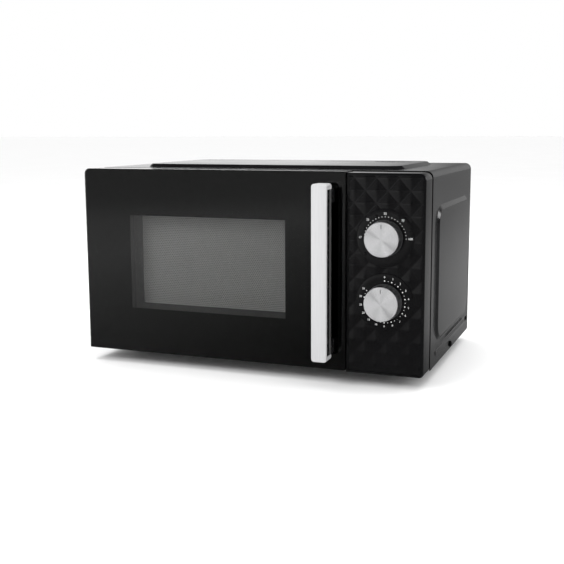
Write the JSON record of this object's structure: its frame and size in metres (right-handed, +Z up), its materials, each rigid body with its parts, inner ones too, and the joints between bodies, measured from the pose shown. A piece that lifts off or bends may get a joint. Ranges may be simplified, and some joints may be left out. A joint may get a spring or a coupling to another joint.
{
  "type": "microwave oven",
  "caption": "Compact countertop microwave oven with a side-hinged glass door, bar handle, two rotary dials and a glass turntable.",
  "frame": {"origin": "on the surface the feet stand on, under the middle of the whole oven's box", "axes": "+X to the right as a person faces the door, +Y from the door to the back, +Z up"},
  "size_m": [0.452, 0.338, 0.256],
  "materials": {
    "case_paint": "satin",
    "cavity_paint": "satin",
    "zinc_steel": "satin",
    "screw_steel": "polished",
    "blackened_steel": "satin",
    "black_rubber": "matte",
    "black_plastic": "matte",
    "panel_black": "polished",
    "door_glass": "polished",
    "mask_ink": "polished",
    "handle_silver": "satin",
    "knob_aluminium": "brushed",
    "clear_film": "polished",
    "tray_glass": "polished",
    "white_plastic": "matte",
    "beige_plastic": "matte",
    "mica_sheet": "satin",
    "fin_aluminium": "satin",
    "ferrite": "matte",
    "lamination_steel": "matte",
    "winding_copper": "satin",
    "board_green": "satin",
    "bulb_glass": "polished",
    "spring_steel": "polished",
    "capacitor_can": "satin",
    "diode_body": "matte"
  },
  "bodies": {
    "oven": {"outer_case": "case_paint", "front_plate": "cavity_paint", "cavity_liner": "cavity_paint", "cavity_floor": "cavity_paint", "back_plate": "zinc_steel", "base_plate": "zinc_steel", "feet": "black_rubber", "rear_spacers": "black_plastic", "case_screws": "blackened_steel", "hinge_brackets": "zinc_steel", "control_panel": "panel_black", "waveguide": "zinc_steel", "waveguide_cover": "mica_sheet", "magnetron_yoke": "zinc_steel", "magnetron_fins": "fin_aluminium", "magnetron_magnets": "ferrite", "magnetron_filter_box": "zinc_steel", "transformer_core": "lamination_steel", "transformer_windings": "winding_copper", "hv_capacitor": "capacitor_can", "capacitor_clamp": "zinc_steel", "hv_diode": "diode_body", "fan_motor": "lamination_steel", "fan_shroud": "black_plastic", "timer_body": "white_plastic", "interlock_bracket": "white_plastic", "microswitches": "black_plastic", "lamp_holder": "white_plastic", "lamp_bulb": "bulb_glass", "thermostats": "black_plastic", "noise_filter_board": "board_green", "cord_gland": "black_plastic", "turntable_motor": "zinc_steel"},
    "door": {"door_frame": "panel_black", "door_glass": "door_glass", "door_mask": "mask_ink", "door_plate": "cavity_paint", "door_mesh": "cavity_paint", "door_inner_film": "clear_film", "choke_cover": "black_plastic", "handle_bar": "handle_silver", "handle_core": "black_plastic", "handle_screws": "screw_steel", "latch_spring": "spring_steel"},
    "latch": {"latch_hook": "white_plastic"},
    "power_dial": {"power_knob": "black_plastic", "power_knob_cap": "knob_aluminium", "power_shaft": "zinc_steel"},
    "timer_dial": {"timer_knob": "black_plastic", "timer_knob_cap": "knob_aluminium", "timer_shaft": "zinc_steel"},
    "coupler": {"turntable_coupler": "beige_plastic"},
    "tray": {"glass_tray": "tray_glass"},
    "ring": {"roller_ring": "beige_plastic"},
    "wheel_a": {"roller_a": "beige_plastic"},
    "wheel_b": {"roller_b": "beige_plastic"},
    "wheel_c": {"roller_c": "beige_plastic"},
    "fan": {"fan_blade": "white_plastic"},
    "plunger_lower": {"switch_plunger_lower": "white_plastic"},
    "plunger_upper": {"switch_plunger_upper": "white_plastic"}
  },
  "joints": [
    {"name": "door_swing", "type": "hinge", "parent": "oven", "child": "door", "pos_m": [-0.215, -0.113, 0.12], "axis": [0, 0, -1], "range_deg": [0, 100]},
    {"name": "latch_lift", "type": "slide", "parent": "door", "child": "latch", "axis": [0, 0, 1], "range_m": [0, 0.004], "stiffness_N_per_m": 400, "springref_m": -0.003, "deforming": ["latch_spring"]},
    {"name": "power_knob_turn", "type": "hinge", "parent": "oven", "child": "power_dial", "pos_m": [0.1763, -0.147, 0.1765], "axis": [0, 1, 0], "range_deg": [-90, 90]},
    {"name": "timer_knob_turn", "type": "hinge", "parent": "oven", "child": "timer_dial", "pos_m": [0.1763, -0.147, 0.1023], "axis": [0, 1, 0], "range_deg": [0, 300]},
    {"name": "turntable_spin", "type": "hinge", "parent": "oven", "child": "coupler", "pos_m": [-0.054, 0.025, 0.04], "axis": [0, 0, 1], "continuous": true},
    {"name": "tray_lift", "type": "slide", "parent": "coupler", "child": "tray", "axis": [0, 0, 1], "range_m": [0, 0.03]},
    {"name": "roller_ring_spin", "type": "hinge", "parent": "oven", "child": "ring", "pos_m": [-0.054, 0.025, 0.0395], "axis": [0, 0, 1], "continuous": true},
    {"name": "roller_a_spin", "type": "hinge", "parent": "ring", "child": "wheel_a", "pos_m": [0.044, 0.025, 0.0395], "axis": [1, 0, 0], "continuous": true},
    {"name": "roller_b_spin", "type": "hinge", "parent": "ring", "child": "wheel_b", "pos_m": [-0.103, 0.10987, 0.0395], "axis": [-0.5, 0.866, 0], "continuous": true},
    {"name": "roller_c_spin", "type": "hinge", "parent": "ring", "child": "wheel_c", "pos_m": [-0.103, -0.05987, 0.0395], "axis": [-0.5, -0.866, 0], "continuous": true},
    {"name": "fan_spin", "type": "hinge", "parent": "oven", "child": "fan", "pos_m": [0.16, 0.137, 0.187], "axis": [0, 1, 0], "continuous": true},
    {"name": "lower_switch_press", "type": "slide", "parent": "oven", "child": "plunger_lower", "axis": [0, 1, 0], "range_m": [0, 0.0015], "stiffness_N_per_m": 150, "springref_m": -0.0005},
    {"name": "upper_switch_press", "type": "slide", "parent": "oven", "child": "plunger_upper", "axis": [0, 1, 0], "range_m": [0, 0.0015], "stiffness_N_per_m": 150, "springref_m": -0.0005}
  ],
  "couplings": [
    {"joint": "roller_ring_spin", "follows": "turntable_spin", "ratio": 0.5},
    {"joint": "roller_a_spin", "follows": "turntable_spin", "ratio": -6.8056},
    {"joint": "roller_b_spin", "follows": "turntable_spin", "ratio": -6.8056},
    {"joint": "roller_c_spin", "follows": "turntable_spin", "ratio": -6.8056}
  ]
}
